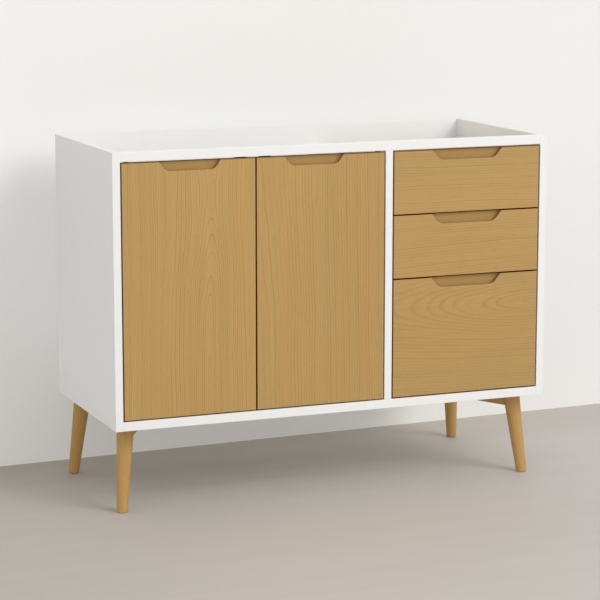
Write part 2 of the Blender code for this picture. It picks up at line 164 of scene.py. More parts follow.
def makeGrainGroup():
    # a board sawn from a trunk: the ring number is the distance from the pith over the ring spacing, and
    # the pith runs towards or away from the board's face along the grain, which draws the arched figure
    group, given, result = newGroup("sawnGrain", [
        ("Vector", "Vector", None), ("Light", "Color", None), ("Dark", "Color", None),
        ("Across", "Float", 0.0), ("Along", "Float", 0.0), ("Pith Depth", "Float", 0.04),
        ("Pith Slope", "Float", 0.1), ("Ring Spacing", "Float", 0.0072), ("Wander", "Float", 0.03),
        ("Late Width", "Float", 0.0026), ("Least Share", "Float", 0.13), ("Contrast", "Float", 0.5),
        ("Tone", "Float", 1.0), ("Seed", "Float", 0.0),
    ], [("Color", "Color"), ("Roughness", "Float"), ("Height", "Float")])
    place = given["Vector"]
    shades, roughs, relief = sawn["shade"], sawn["rough"], sawn["relief"]

    def noise(kind):
        scales, detail, shift = grainNoises[kind]
        return longSpeckle(group, place, scales, detail, calc(group, "ADD", given["Seed"], shift))

    axes = axesOf(group, place)
    across = calc(group, "SUBTRACT", axes[2], given["Across"])
    across = vary(group, across, noise("drift"), given["Wander"])
    run = calc(group, "SUBTRACT", axes[0], given["Along"])
    run = calc(group, "SQRT", plus(group, sawn["bend"], run, run))
    depth = calc(group, "SUBTRACT", given["Pith Depth"], calc(group, "MULTIPLY", run, given["Pith Slope"]))
    depth = vary(group, depth, noise("sway"), given["Wander"])
    depth = calc(group, "ADD", depth, axes[1])
    reach = calc(group, "MULTIPLY", across, across)
    reach = calc(group, "SQRT", plus(group, reach, depth, depth))
    ring = calc(group, "DIVIDE", reach, given["Ring Spacing"])
    ring = plus(group, ring, noise("ruffle"), sawn["ruffle"])

    # each ring darkens to its late wood and ends there; the late wood is a line of one width on the face,
    # so its share of a ring follows how fast the rings are crossed; no two rings are equally dark
    along = calc(group, "DIVIDE", calc(group, "MULTIPLY", depth, given["Pith Slope"]), reach)
    aside = calc(group, "DIVIDE", across, reach)
    rate = calc(group, "SQRT", plus(group, calc(group, "MULTIPLY", along, along), aside, aside))
    share = calc(group, "DIVIDE", calc(group, "MULTIPLY", rate, given["Late Width"]), given["Ring Spacing"])
    share = calc(group, "MAXIMUM", share, given["Least Share"])
    toEnd = calc(group, "DIVIDE", calc(group, "SUBTRACT", 1.0, calc(group, "FRACT", ring)), share)
    late = calc(group, "MULTIPLY", spread(group, toEnd, *sawn["lateFrom"]),
                spread(group, toEnd, *sawn["lateTo"]))
    number = addNode(group, "ShaderNodeTexWhiteNoise", {"W": calc(group, "FLOOR", ring)},
                     noise_dimensions="1D").outputs[0]
    late = calc(group, "MULTIPLY", late, spread(group, number, 0.0, 1.0, sawn["paleRing"], 1.0))

    fibre = noise("fibre")
    pore = spread(group, noise("pore"), *sawn["pores"])
    darkness = calc(group, "MULTIPLY", late, given["Contrast"])
    colour = mixColours(group, darkness, given["Light"], given["Dark"])
    # broad bands along the grain lean towards pink or towards olive
    tint = mixColours(group, spread(group, noise("hue"), *sawn["hues"]), sawn["pink"], sawn["olive"])
    colour = mixColours(group, 1.0, colour, tint, "MULTIPLY")
    shade = vary(group, given["Tone"], noise("streak"), shades["streak"])
    shade = vary(group, shade, fibre, shades["fibre"])
    shade = vary(group, shade, noise("cloud"), shades["cloud"])
    shade = plus(group, shade, pore, shades["pore"])
    feed(group, result["Color"], shadeColour(group, colour, shade))
    rough = plus(group, roughs["base"], late, roughs["late"])
    feed(group, result["Roughness"], plus(group, rough, pore, roughs["pore"]))
    height = calc(group, "MULTIPLY", fibre, relief["fibre"])
    height = plus(group, height, late, relief["late"])
    feed(group, result["Height"], plus(group, height, pore, relief["pore"]))
    return group


# a patch, a grit or a cloud below is a noise, given as its scale and its detail
wear = {"samples": 6, "flat": 0.99, "sharp": 0.80, "patch": (55.0, 3.0), "patches": (0.35, 0.65)}


def makeEdgeGroup():
    # compares the rounded normal with the true one: Edge is 1 on a sharp edge and 0 on a flat
    group, given, result = newGroup("wornEdge", [("Radius", "Float", 0.001), ("Break", "Float", 0.5)],
                                    [("Edge", "Float"), ("Normal", "Vector")])
    bevel = addNode(group, "ShaderNodeBevel", {"Radius": given["Radius"]}, samples=wear["samples"])
    rounded = bevel.outputs[0]
    true = addNode(group, "ShaderNodeNewGeometry").outputs["True Normal"]
    alike = addNode(group, "ShaderNodeVectorMath", {0: rounded, 1: true}, operation="DOT_PRODUCT")
    edge = spread(group, alike.outputs["Value"], wear["flat"], wear["sharp"])
    broken = speckle(group, objectPlace(group), *wear["patch"])
    keep = spread(group, broken, *wear["patches"], calc(group, "SUBTRACT", 1.0, given["Break"]), 1.0)
    feed(group, result["Edge"], calc(group, "MULTIPLY", edge, keep))
    feed(group, result["Normal"], rounded)
    return group


coat = {"peelDetail": 2.0, "patch": (3.5, 3.0), "grit": (38.0, 4.0), "facingUp": (0.5, 0.95),
        "settled": (0.45, 0.75)}


def makeSkinGroup():
    # a sprayed or moulded skin: a fine orange peel, slow patches in tone, and a little settled dust
    group, given, result = newGroup("sprayedSkin", [("Peel Scale", "Float", 260.0), ("Seed", "Float", 0.0)],
                                    [("Peel", "Float"), ("Patch", "Float"), ("Dust", "Float")])
    place = objectPlace(group)
    grit = speckle(group, place, *coat["grit"], given["Seed"])
    up = axesOf(group, addNode(group, "ShaderNodeNewGeometry").outputs["True Normal"])[2]
    dust = calc(group, "MULTIPLY", spread(group, up, *coat["facingUp"]),
                spread(group, grit, *coat["settled"]))
    peel = speckle(group, place, given["Peel Scale"], coat["peelDetail"], given["Seed"])
    feed(group, result["Peel"], peel)
    feed(group, result["Patch"], speckle(group, place, *coat["patch"], given["Seed"]))
    feed(group, result["Dust"], dust)
    return group


plyNoises = {"wave": ((6.0, 6.0, 6.0), 2.0), "face": ((4.0, 90.0, 45.0), 3.0),
             "figure": ((2.0, 9.0, 9.0), 2.0), "fleck": ((60.0, 900.0, 900.0), 1.0)}
plies = {"faceVeneer": 0.0009, "cutBlend": 0.0003, "glueLine": (0.35, 0.65), "wave": 0.0003, "face": 0.35,
         "figure": 0.55, "fleck": 0.14, "layers": 0.9, "tones": (0.25, 1.3), "relief": 0.5}


def makePlyGroup():
    # birch ply: a quiet face veneer, and layers of turned grain wherever the thickness is cut open
    group, given, result = newGroup("birchPly", [
        ("Vector", "Vector", None), ("Light", "Color", None), ("Dark", "Color", None),
        ("Half Thickness", "Float", 0.006), ("Layer", "Float", 0.0014), ("Seed", "Float", 0.0),
    ], [("Color", "Color"), ("Height", "Float")])

    def noise(kind):
        return longSpeckle(group, given["Vector"], *plyNoises[kind], given["Seed"])

    depth = calc(group, "ABSOLUTE", axesOf(group, given["Vector"])[1])
    inside = calc(group, "SUBTRACT", given["Half Thickness"], plies["faceVeneer"])
    cutEdge = spread(group, depth, inside, calc(group, "SUBTRACT", inside, plies["cutBlend"]))
    wavy = plus(group, depth, noise("wave"), plies["wave"])
    layer = calc(group, "DIVIDE", calc(group, "PINGPONG", wavy, given["Layer"]), given["Layer"])
    layer = spread(group, layer, *plies["glueLine"])
    fleck = noise("fleck")
    tone = calc(group, "MULTIPLY", noise("face"), plies["face"])
    tone = plus(group, tone, noise("figure"), plies["figure"])
    tone = plus(group, tone, cutEdge, calc(group, "MULTIPLY", layer, plies["layers"]))
    colour = mixColours(group, spread(group, tone, *plies["tones"]), given["Light"], given["Dark"])
    feed(group, result["Color"], shadeColour(group, colour, vary(group, 1.0, fleck, plies["fleck"])))
    fine = calc(group, "MULTIPLY", fleck, plies["relief"])
    feed(group, result["Height"], plus(group, fine, layer, cutEdge))
    return group


grainGroup = makeGrainGroup()
edgeGroup = makeEdgeGroup()
skinGroup = makeSkinGroup()
plyGroup = makePlyGroup()


def useGroup(tree, group, **inputs):
    node = addNode(tree, "ShaderNodeGroup", node_tree=group)
    for label, value in inputs.items():
        feed(tree, node.inputs[label.replace("_", " ")], value)
    return node.outputs


def newFinish(name):
    material = bpy.data.materials.new(name)
    material.use_nodes = True
    tree = material.node_tree
    return material, tree, tree.nodes["Principled BSDF"].inputs


def wornEdges(tree, look):
    return useGroup(tree, edgeGroup, Radius=look["edge"], Break=look["break"])


def applyFinish(tree, shader, look, edge, colour, rough, height):
    # the look's relief is how far a height of 1 stands out, in metres
    bump = {"Height": height, "Distance": look["relief"], "Strength": 1.0, "Normal": edge["Normal"]}
    feed(tree, shader["Base Color"], colour)
    feed(tree, shader["Roughness"], rough)
    feed(tree, shader["Normal"], addNode(tree, "ShaderNodeBump", bump).outputs[0])


def turnedPlace(tree, turn, centre):
    # object coordinates turned so that the grain runs along X, about the piece's own centre
    back = [-value for value in centre]
    centred = addNode(tree, "ShaderNodeMapping", {0: objectPlace(tree), 1: back}).outputs[0]
    return addNode(tree, "ShaderNodeMapping", {0: centred, 2: turn}).outputs[0]


woodTones = {"light": (0.500, 0.310, 0.109, 1.0), "dark": (0.355, 0.200, 0.060, 1.0), "worn": 0.06,
             "cut": (0.424, 0.244, 0.073, 1.0), "stainAndShade": (0.46, 0.36, 0.26, 1.0)}
wood = {"edge": 0.0012, "break": 0.6, "edgeRough": -0.08, "specular": 0.35, "relief": 0.00012}
# depths below a front's face, and how far the stain reaches in from a front's edges; the stain is partly
# painted shade in the gaps round the front
pull = {"depth": 0.012, "cutFrom": 0.0005, "cutFull": 0.0014, "plain": 0.7, "wallFrom": 0.0004,
        "wallFull": 0.0008, "wallShade": 0.60}
edgeBandAndShade = {"from": 0.0011, "full": 0.0004, "railShadeLift": 0.0012, "railReach": 0.01}


def stainAndShadeFront(tree, vector, colour, tones, halves, shadeLift):
    # the scooped pull is plainer and darker than the face, its side walls take part of the stain as painted
    # shade, and a band round the front's edges takes all of it, a real stain that is also painted shade in
    # the gaps; the lift makes one side of the band wider than the other, as painted shadow under the rail
    axes = axesOf(tree, vector)
    face = halves[1]
    cut = spread(tree, calc(tree, "ABSOLUTE", axes[1]), face - pull["cutFrom"], face - pull["cutFull"])
    colour = mixColours(tree, calc(tree, "MULTIPLY", cut, pull["plain"]), colour, tones["cut"])
    bands = [spread(tree, calc(tree, "ABSOLUTE", calc(tree, "ADD", axes[k], shadeLift[k])),
                    halves[k] - edgeBandAndShade["from"], halves[k] - edgeBandAndShade["full"]) for k in (0, 2)]
    floor = pull["depth"] - face
    # painted shade on the pull's side walls
    walls = spread(tree, axes[1], floor - pull["wallFrom"], floor - pull["wallFull"])
    walls = calc(tree, "MULTIPLY", calc(tree, "MULTIPLY", cut, walls), pull["wallShade"])
    stainAndShade = calc(tree, "MAXIMUM", calc(tree, "MAXIMUM", *bands), walls)
    return mixColours(tree, stainAndShade, colour, tones["stainAndShade"], "MULTIPLY")


def makeWood(name, place, figure, tones=woodTones, halves=None, shadeLift=None):
    material, tree, shader = newFinish(name)
    vector = place(tree)
    grain = useGroup(tree, grainGroup, Vector=vector, Light=tones["light"], Dark=tones["dark"], **figure)
    edge = wornEdges(tree, wood)
    colour = grain["Color"]
    if halves:
        colour = stainAndShadeFront(tree, vector, colour, tones, halves, shadeLift)
    shade = plus(tree, 1.0, edge["Edge"], tones["worn"])
    rough = plus(tree, grain["Roughness"], edge["Edge"], wood["edgeRough"])
    shader["Specular IOR Level"].default_value = wood["specular"]
    applyFinish(tree, shader, wood, edge, shadeColour(tree, colour, shade), rough, grain["Height"])
    return material


lacquer = {"edge": 0.0012, "break": 0.8, "patchShade": 0.025, "edgeShade": -0.035, "dustShade": -0.02,
           "patchRough": 0.10, "dustRough": 0.12, "relief": 0.00006}


def makeLacquer(name, colour, roughness=0.40, seed=0.0):
    material, tree, shader = newFinish(name)
    skin = useGroup(tree, skinGroup, Seed=seed)
    edge = wornEdges(tree, lacquer)
    shade = vary(tree, 1.0, skin["Patch"], lacquer["patchShade"])
    shade = plus(tree, shade, edge["Edge"], lacquer["edgeShade"])
    shade = plus(tree, shade, skin["Dust"], lacquer["dustShade"])
    rough = vary(tree, roughness, skin["Patch"], lacquer["patchRough"])
    rough = plus(tree, rough, skin["Dust"], lacquer["dustRough"])
    applyFinish(tree, shader, lacquer, edge, shadeColour(tree, colour, shade), rough, skin["Peel"])
    return material


metal = {"edge": 0.0005, "break": 0.5, "streakDetail": 3.0, "patch": (24.0, 3.0), "streakShade": 0.22,
         "patchShade": 0.16, "edgeShade": 0.20, "streakRough": 0.25, "edgeRough": -0.08, "relief": 0.00003}


def makeMetal(name, colour, roughness, brush, seed=0.0):
    # brushed or turned metal: fine streaks along one way, brighter where handling has rubbed the edges
    material, tree, shader = newFinish(name)
    place = objectPlace(tree)
    streak = longSpeckle(tree, place, brush, metal["streakDetail"], seed)
    patch = speckle(tree, place, *metal["patch"], seed)
    edge = wornEdges(tree, metal)
    shade = vary(tree, 1.0, streak, metal["streakShade"])
    shade = vary(tree, shade, patch, metal["patchShade"])
    shade = plus(tree, shade, edge["Edge"], metal["edgeShade"])
    rough = vary(tree, roughness, streak, metal["streakRough"])
    rough = plus(tree, rough, edge["Edge"], metal["edgeRough"])
    shader["Metallic"].default_value = 1.0
    applyFinish(tree, shader, metal, edge, shadeColour(tree, colour, shade), rough, streak)
    return material


plastic = {"edge": 0.0006, "break": 0.5, "peelScale": 1400.0, "patchShade": 0.10, "edgeShade": 0.08,
           "peelRough": 0.15, "relief": 0.00004}


def makePlastic(name, colour, roughness, seed=0.0):
    material, tree, shader = newFinish(name)
    skin = useGroup(tree, skinGroup, Peel_Scale=plastic["peelScale"], Seed=seed)
    edge = wornEdges(tree, plastic)
    shade = vary(tree, 1.0, skin["Patch"], plastic["patchShade"])
    shade = plus(tree, shade, edge["Edge"], plastic["edgeShade"])
    rough = plus(tree, roughness, skin["Peel"], plastic["peelRough"])
    applyFinish(tree, shader, plastic, edge, shadeColour(tree, colour, shade), rough, skin["Peel"])
    return material


ply = {"light": (0.76, 0.65, 0.49, 1.0), "dark": (0.56, 0.42, 0.25, 1.0), "edge": 0.0008, "break": 0.5,
       "roughness": 0.55, "edgeRough": -0.08, "relief": 0.00008}


def makePly(name, turn, centre, halfThickness, seed):
    material, tree, shader = newFinish(name)
    layers = useGroup(tree, plyGroup, Vector=turnedPlace(tree, turn, centre), Light=ply["light"],
                      Dark=ply["dark"], Half_Thickness=halfThickness, Seed=seed)
    edge = wornEdges(tree, ply)
    rough = plus(tree, ply["roughness"], edge["Edge"], ply["edgeRough"])
    applyFinish(tree, shader, ply, edge, layers["Color"], rough, layers["Height"])
    return material


def dress(name, material):
    for holder in nodes[name].material_slots:
        holder.material = material


def middle(name):
    low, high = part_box(name)
    return [(low[k] + high[k]) / 2 for k in range(3)]


# doors have upright grain, drawers level grain; Along and Across are measured from the front's centre
fronts = {
    "left_door_panel": {"upright": True, "Across": -0.048, "Along": 0.215, "Pith_Depth": 0.050,
                        "Pith_Slope": 0.085, "Ring_Spacing": 0.0046, "Wander": 0.055, "Contrast": 0.70,
                        "Tone": 1.040, "Seed": 67.0},
    "right_door_panel": {"upright": True, "Across": 0.200, "Along": 0.420, "Pith_Depth": 0.160,
                         "Pith_Slope": 0.030, "Ring_Spacing": 0.0060, "Wander": 0.026, "Contrast": 0.68,
                         "Tone": 0.975, "Seed": 5.0},
    "top_drawer_front": {"upright": False, "Across": -0.260, "Along": 0.300, "Pith_Depth": 0.130,
                         "Pith_Slope": 0.040, "Ring_Spacing": 0.0062, "Wander": 0.022, "Contrast": 0.48,
                         "Seed": 9.0},
    "middle_drawer_front": {"upright": False, "Across": -0.160, "Along": -0.260, "Pith_Depth": 0.085,
                            "Pith_Slope": 0.070, "Ring_Spacing": 0.0066, "Wander": 0.024,
                            "Contrast": 0.56, "Seed": 12.0},
    "bottom_drawer_front": {"upright": False, "Across": 0.075, "Along": -0.215, "Pith_Depth": 0.085,
                            "Pith_Slope": 0.185, "Ring_Spacing": 0.0072, "Wander": 0.026,
                            "Late_Width": 0.0032, "Least_Share": 0.40, "Contrast": 0.42, "Tone": 0.97,
                            "Seed": 15.0},
}
quarter = math.pi / 2
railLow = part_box("front_top_rail")[0][2]
for name, look in fronts.items():
    upright = look.pop("upright")
    turn = (0.0, quarter, 0.0) if upright else (0.0, 0.0, 0.0)
    centre = middle(name)
    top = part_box(name)[1]
    halves = [high - mid for high, mid in zip(top, centre)]
    # painted shadow: the dark line under the rail is the widest one
    shadeLift = [0.0, 0.0, edgeBandAndShade["railShadeLift"] if top[2] > railLow - edgeBandAndShade["railReach"] else 0.0]
    if upright:
        halves.reverse()
        shadeLift.reverse()
    dress(name, makeWood(name + "_wood", lambda tree: turnedPlace(tree, turn, centre), look,
                         halves=halves, shadeLift=shadeLift))
print("fronts veneered")

white = (0.884, 0.887, 0.876, 1.0)
# painted light: the back board gets a lighter, cooler copy of the carcass white, so it looks more brightly
# lit
paintedLightBackWhite = (0.925, 0.940, 0.940, 1.0)
carcassLacquer = makeLacquer("carcassLacquer", white)
shelfLacquer = makeLacquer("shelfLacquer", white, roughness=0.44, seed=4.0)
paintedLightBackLacquer = makeLacquer("paintedLightBackLacquer", paintedLightBackWhite, roughness=0.42, seed=9.0)
for name in ("left_side_panel", "right_side_panel"):
    dress(name, carcassLacquer)
dress("shelf", shelfLacquer)

slideZinc = makeMetal("slideZinc", (0.62, 0.63, 0.64, 1.0), 0.34, (2400.0, 30.0, 2400.0))
pinSteel = makeMetal("pinSteel", (0.60, 0.60, 0.61, 1.0), 0.28, (400.0, 400.0, 2600.0), 3.0)
screwZinc = makeMetal("screwZinc", (0.66, 0.66, 0.67, 1.0), 0.30, (900.0, 900.0, 900.0), 6.0)
bushBrass = makeMetal("agedBrass", (0.30, 0.20, 0.095, 1.0), 0.45, (300.0, 300.0, 2600.0), 8.0)
catchPlastic = makePlastic("catchPlastic", (0.72, 0.72, 0.70, 1.0), 0.40)
darkPlastic = makePlastic("darkPlastic", (0.035, 0.035, 0.037, 1.0), 0.42, 3.0)
# painted shade for the dark bores of the pin holes
holeShade = makePlastic("holeShade", (0.030, 0.027, 0.023, 1.0), 0.60, 5.0)

for name in nodes:
    if "_slide_" in name:
        dress(name, slideZinc)
    elif name.endswith("_bush"):
        dress(name, bushBrass)
    elif name.startswith("shelf_pin") or name.endswith("_pin"):
        dress(name, pinSteel)

# the box boards show ply layers where their thickness is cut: the axis of each board's thickness, and the
# turn that brings it to Y
drawers = ("top_drawer", "middle_drawer", "bottom_drawer")
boxBoards = {"left_side": (0, (0.0, 0.0, quarter)), "right_side": (0, (0.0, 0.0, quarter)),
             "back": (1, (0.0, 0.0, 0.0)), "bottom": (2, (quarter, 0.0, 0.0))}
for count, drawer in enumerate(drawers):
    for board, (axis, turn) in boxBoards.items():
        name = drawer + "_" + board
        low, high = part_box(name)
        half = (high[axis] - low[axis]) / 2
        dress(name, makePly(name + "_ply", turn, middle(name), half, 2.0 * count + axis))
print("carcass, hardware and drawer boxes finished")


# small helpers for the numpy surfaces

def gridQuads(rows, columns):
    # quads between neighbouring points of a grid whose columns close round
    row = np.arange(rows - 1)[:, None] * columns
    column = np.arange(columns)[None, :]
    following = (column + 1) % columns
    return np.stack([row + column, row + following, row + columns + following, row + columns + column],
                    axis=-1).reshape(-1, 4)


def weld(points, quads):
    # points in one place become one point, and a quad with two equal corners becomes a triangle
    points, back = np.unique(points.round(8), axis=0, return_inverse=True)
    quads = back.ravel()[quads]
    first = quads[:, 0] == quads[:, 1]
    last = quads[:, 2] == quads[:, 3]
    whole = quads[~first & ~last].tolist()
    return points, whole + quads[first & ~last][:, 1:].tolist() + quads[last & ~first][:, :3].tolist()


def revolve(profile, steps):
    # p = (r cos t, r sin t, h): the profile (r, h), from its lowest pole to its highest, carried round Z
    radius, height = np.asarray(profile, float).T
    t = np.linspace(0.0, 2.0 * np.pi, steps, endpoint=False)
    points = np.stack([np.outer(radius, np.cos(t)), np.outer(radius, np.sin(t)),
                       np.outer(height, np.ones(steps))], axis=-1)
    return weld(points.reshape(-1, 3), gridQuads(len(radius), steps))


def crossHead(radius, height, arm, slot, sink, rings=9, steps=32):
    # p = (r cos t, r sin t, h): h falls from the crown to the rim as H (1 - s^4)^(1/2), with s = r / R, and
    # the cross is sunk by D where the smaller of |x| and |y| is under the slot's half width and the larger
    # under its arm; its sides and its ends slope over a share of that width and of that arm
    slotSlope = 0.4
    armSlope = 0.3
    # first the flat underside, from its centre to the rim, and then the head from the rim to the crown
    s = np.concatenate([[0.0, 1.0], np.cos(np.linspace(0.0, np.pi / 2, rings))[1:]])
    t = np.linspace(0.0, 2.0 * np.pi, steps, endpoint=False)
    x = radius * np.outer(s, np.cos(t))
    y = radius * np.outer(s, np.sin(t))
    h = height * np.sqrt(np.clip(1.0 - s ** 4, 0.0, 1.0))[:, None] * np.ones(steps)
    near = np.minimum(abs(x), abs(y))
    far = np.maximum(abs(x), abs(y))
    cross = np.clip((slot - near) / (slotSlope * slot), 0.0, 1.0)
    cross = cross * np.clip((arm - far) / (armSlope * arm), 0.0, 1.0)
    h[2:] -= sink * cross[2:]
    h[0] = 0.0
    return weld(np.stack([x, y, h], axis=-1).reshape(-1, 3), gridQuads(len(s), steps))


def stand(shape, where, axis):
    # turns the shape's own Z to the given axis and moves it to its place
    points, faces = shape
    axis = np.asarray(axis, float)
    side = np.array((0.0, 0.0, 1.0)) if abs(axis[2]) < 0.5 else np.array((1.0, 0.0, 0.0))
    first = np.cross(side, axis)
    first /= np.linalg.norm(first)
    return np.asarray(where) + points @ np.array([first, np.cross(axis, first), axis]), faces


def gather(shapes):
    # several shapes in one mesh
    points = np.concatenate([shape[0] for shape in shapes])
    starts = np.cumsum([0] + [len(shape[0]) for shape in shapes[:-1]])
    faces = [[corner + start for corner in face] for start, shape in zip(starts.tolist(), shapes)
             for face in shape[1]]
    return points, faces


def carry(outline, axis, start, end):
    # the closed outline is carried straight along one axis, and both ends are closed
    outline = np.asarray(outline, float)
    count = len(outline)
    points = np.zeros((2 * count, 3))
    others = [k for k in range(3) if k != axis]
    points[:count, others] = outline
    points[count:, others] = outline
    points[:count, axis] = start
    points[count:, axis] = end
    here = np.arange(count)
    after = (here + 1) % count
    sides = np.stack([here, after, after + count, here + count], axis=-1).tolist()
    return points, sides + [here[::-1].tolist(), (here + count).tolist()]


def rectangle(low, high):
    return [(low[0], low[1]), (high[0], low[1]), (high[0], high[1]), (low[0], high[1])]


def roundedOutline(low, high, radius, steps=6):
    # a rectangle whose corners are quarter circles: corner centre + R (cos t, sin t)
    t = np.linspace(0.0, quarter, steps)
    corners = ((high[0] - radius, high[1] - radius), (low[0] + radius, high[1] - radius),
               (low[0] + radius, low[1] + radius), (high[0] - radius, low[1] + radius))
    return np.concatenate([np.stack([x + radius * np.cos(t + k * quarter),
                                     z + radius * np.sin(t + k * quarter)], axis=-1)
                           for k, (x, z) in enumerate(corners)])


# the angles from which an edge stays crisp
creases = {"plain": 35.0, "screw": 50.0}


def makePiece(name, shape, material, body, stands=(), crease=creases["plain"], outward=False):
    points, faces = shape
    mesh = bpy.data.meshes.new(name)
    mesh.from_pydata(np.asarray(points).tolist(), [], faces)
    if outward:
        work = bmesh.new()
        work.from_mesh(mesh)
        bmesh.ops.recalc_face_normals(work, faces=work.faces)
        work.to_mesh(mesh)
        work.free()
    mesh.shade_smooth()
    mesh.set_sharp_from_angle(angle=math.radians(crease))
    mesh.materials.append(material)
    piece = bpy.data.objects.new(name, mesh)
    scene.collection.objects.link(piece)
    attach(piece, body)
    if stands:
        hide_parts(*stands)
    return piece


def makeScrews(name, shapes, body):
    makePiece(name, gather(shapes), screwZinc, body, crease=creases["screw"])


def roundEdges(piece, chosen, width, segments=3):
    # chosen(a, b) says from both ends of every edge which edges are rounded off
    mesh = piece.data
    ends = np.zeros(len(mesh.edges) * 2, np.int32)
    mesh.edges.foreach_get("vertices", ends)
    places = np.zeros(len(mesh.vertices) * 3)
    mesh.vertices.foreach_get("co", places)
    places = places.reshape(-1, 3)[ends.reshape(-1, 2)]
    weights = mesh.attributes.new("bevel_weight_edge", "FLOAT", "EDGE")
    weights.data.foreach_set("value", chosen(places[:, 0], places[:, 1]).astype(np.float32))
    bevel = piece.modifiers.new("soft edges", "BEVEL")
    bevel.limit_method = "WEIGHT"
    bevel.width = width
    bevel.segments = segments
    bevel.harden_normals = True


def runsAlong(axis):
    # true for an edge that covers more than this share of its length along the axis
    share = 0.9
    return lambda a, b: abs(a - b)[:, axis] > share * np.linalg.norm(a - b, axis=1)


def acrossDepth(a, b):
    # every edge but those that run from front to back
    return ~runsAlong(1)(a, b)


# the white boards between the sides meet them and each other without a seam, as under one coat of lacquer
boards = {"edgeRadius": 0.0008, "joint": 0.00002, "frontReach": 0.001, "nailRoom": 0.0003}
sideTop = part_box("left_side_panel")[1][2]
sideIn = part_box("left_side_panel")[1][0] + boards["joint"]
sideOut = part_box("right_side_panel")[0][0] - boards["joint"]


def makeBoard(name, shape, material, node):
    return makePiece(name, shape, material, "carcass", (node,), outward=True)


def makeCrossBoard(name, node):
    low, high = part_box(node)
    piece = makeBoard(name, carry(rectangle(low[1:], high[1:]), 0, sideIn, sideOut), carcassLacquer, node)
    roundEdges(piece, runsAlong(0), boards["edgeRadius"])


divider = {"post": 0.060, "drop": 0.062}


def makeDivider():
    # a post of full height at the front, and lower behind it
    low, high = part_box("centre_divider")
    seam = railLow - high[2] - boards["joint"]
    foot = low[2] - seam
    post = low[1] + divider["post"]
    step = sideTop - divider["drop"]
    head = high[2] + seam
    outline = [(low[1], foot), (high[1], foot), (high[1], step), (post, step), (post, head), (low[1], head)]
    board = makeBoard("dividerBoard", carry(outline, 0, low[0], high[0]), carcassLacquer, "centre_divider")
    frontLine = low[1] + boards["frontReach"]
    roundEdges(board, lambda a, b: runsAlong(2)(a, b) & (a[:, 1] < frontLine), boards["edgeRadius"])


makeCrossBoard("rail", "front_top_rail")
makeCrossBoard("floorBoard", "bottom_panel")
makeDivider()
backLow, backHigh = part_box("back_panel")
backFace = backHigh[1] - boards["nailRoom"]
backOutline = rectangle((backLow[0], backLow[2]), (backHigh[0], backHigh[2]))
makeBoard("backBoard", carry(backOutline, 1, backLow[1], backFace), paintedLightBackLacquer, "back_panel")
print("carcass boards joined")


# turned legs: the profile is straight with a softened foot, and the whole leg leans towards its corner
legs = {"topRadius": 0.0215, "footRadius": 0.0133, "footSoftness": 0.0032, "leanSide": 0.020,
        "leanDepth": 0.028, "sideInset": 0.049, "inset": {"front": 0.081, "back": 0.042}, "steps": 72,
        "rows": 40, "footRows": 9, "grainTurn": (0.5, 1.3), "grainApart": 0.6}
legTones = {"light": (0.512, 0.308, 0.100, 1.0), "dark": (0.350, 0.190, 0.052, 1.0), "worn": 0.08}
legFigure = {"Across": 0.012, "Along": 0.4, "Pith_Depth": 0.052, "Pith_Slope": 0.055,
             "Ring_Spacing": 0.0052, "Wander": 0.012, "Contrast": 0.26, "Seed": 21.0}
barFigure = {"Across": 0.10, "Along": 0.3, "Pith_Depth": 0.09, "Pith_Slope": 0.05,
             "Ring_Spacing": 0.006, "Wander": 0.012, "Contrast": 0.28}
bars = {"angle": math.radians(28.0), "firstSeed": 30.0, "screws": (0.055, 0.130)}
corners = [(end, side, -1.0 if side == "left" else 1.0, -1.0 if end == "front" else 1.0)
           for end in ("front", "back") for side in ("left", "right")]


def legPlace(tree):
    return addNode(tree, "ShaderNodeAttribute", attribute_name="grainPlace").outputs["Vector"]


def legShape(height):
    # r falls straight from the head to the foot; a quarter circle softens the foot's edge
    soft = legs["footSoftness"]
    t = np.linspace(0.0, quarter, legs["footRows"])
    foot = np.stack([legs["footRadius"] - soft + soft * np.sin(t), soft - soft * np.cos(t)], axis=-1)
    share = np.linspace(0.0, 1.0, legs["rows"])[1:]
    shaft = np.stack([legs["footRadius"] + (legs["topRadius"] - legs["footRadius"]) * share,
                      soft + (height - soft) * share], axis=-1)
    return revolve(np.concatenate([[[0.0, 0.0]], foot, shaft, [[0.0, height]]]), legs["steps"])


def legHead(end, outX, outY):
    return outX * (cadBox[1][0] - legs["sideInset"]), outY * (cadBox[1][1] - legs["inset"][end])


